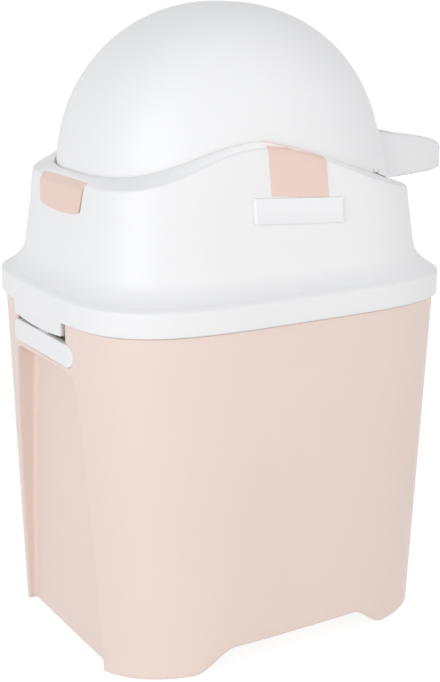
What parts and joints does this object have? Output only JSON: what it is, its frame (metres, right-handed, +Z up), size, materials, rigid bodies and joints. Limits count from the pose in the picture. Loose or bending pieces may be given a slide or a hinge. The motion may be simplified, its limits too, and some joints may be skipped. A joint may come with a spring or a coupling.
{
  "type": "nappy bin",
  "caption": "Free-standing tapered nappy bin with a hinged housing and a domed drum on a side handle that flips over to drop waste into the bag below.",
  "frame": {"origin": "on the floor under the middle of the tub", "axes": "+Z up; +X along the long side towards the drum's handle and the lid's hinge; +Y across, towards the rear long side"},
  "size_m": [0.3988, 0.272, 0.52],
  "materials": {
    "tub_plastic": "satin injection-moulded polypropylene, pale pink",
    "pink_plastic": "smooth moulded plastic, pale pink",
    "white_plastic": "glossy moulded plastic, white",
    "dome_plastic": "polished moulded plastic, white",
    "bar_plastic": "smooth moulded plastic, white",
    "carrier_plastic": "fine-textured moulded plastic, white",
    "ring_plastic": "fine-textured moulded plastic, grey",
    "bush_plastic": "acetal, natural white",
    "seal_rubber": "soft cream elastomer",
    "spring_steel": "drawn spring wire",
    "zinc_steel": "zinc-plated steel",
    "cast_weight": "rough cast disc"
  },
  "bodies": {
    "bin": {"tub": "tub_plastic", "bag_carrier": "carrier_plastic", "hinge_pins": "zinc_steel", "grip_springs": "spring_steel"},
    "bag_ring": {"bag_ring": "ring_plastic"},
    "latch": {"release_grip": "white_plastic", "grip_clips": "zinc_steel"},
    "lid": {"housing": "white_plastic", "front_pivot_cover": "pink_plastic", "rear_pivot_cover": "pink_plastic", "front_label_bar": "bar_plastic", "rear_label_bar": "bar_plastic", "front_bush": "bush_plastic", "rear_bush": "bush_plastic", "drum_seal": "seal_rubber", "lock_spring": "spring_steel"},
    "lock_button": {"lock_button": "pink_plastic"},
    "drum": {"drum_shell": "dome_plastic", "handle_cover": "dome_plastic", "front_axle_pin": "bush_plastic", "rear_axle_pin": "bush_plastic", "cup_liner": "carrier_plastic", "cup_cap": "carrier_plastic", "drum_screws": "zinc_steel"},
    "piston": {"piston": "ring_plastic", "piston_weight": "cast_weight", "piston_cap": "ring_plastic", "piston_seal": "seal_rubber"}
  },
  "joints": [
    {"name": "lid_hinge", "type": "hinge", "parent": "bin", "child": "lid", "pos_m": [0.172, 0, 0.278], "axis": [0, 1, 0], "range_deg": [0, 100]},
    {"name": "drum_flip", "type": "hinge", "parent": "lid", "child": "drum", "pos_m": [0, 0, 0.388], "axis": [0, -1, 0], "range_deg": [0, 160]},
    {"name": "piston_slide", "type": "slide", "parent": "drum", "child": "piston", "axis": [0, 0, 1], "range_m": [0, 0.07]},
    {"name": "lock_press", "type": "slide", "parent": "lid", "child": "lock_button", "axis": [-0.1135, 0, -0.9935], "range_m": [0, 0.004], "stiffness_N_per_m": 300, "springref_m": -0.002, "deforming": ["lock_spring"]},
    {"name": "grip_press", "type": "slide", "parent": "bin", "child": "latch", "axis": [1, 0, 0], "range_m": [0, 0.004], "stiffness_N_per_m": 600, "springref_m": -0.002, "deforming": ["grip_springs"]},
    {"name": "ring_lift", "type": "slide", "parent": "bin", "child": "bag_ring", "axis": [0, 0, 1], "range_m": [0, 0.018]}
  ]
}
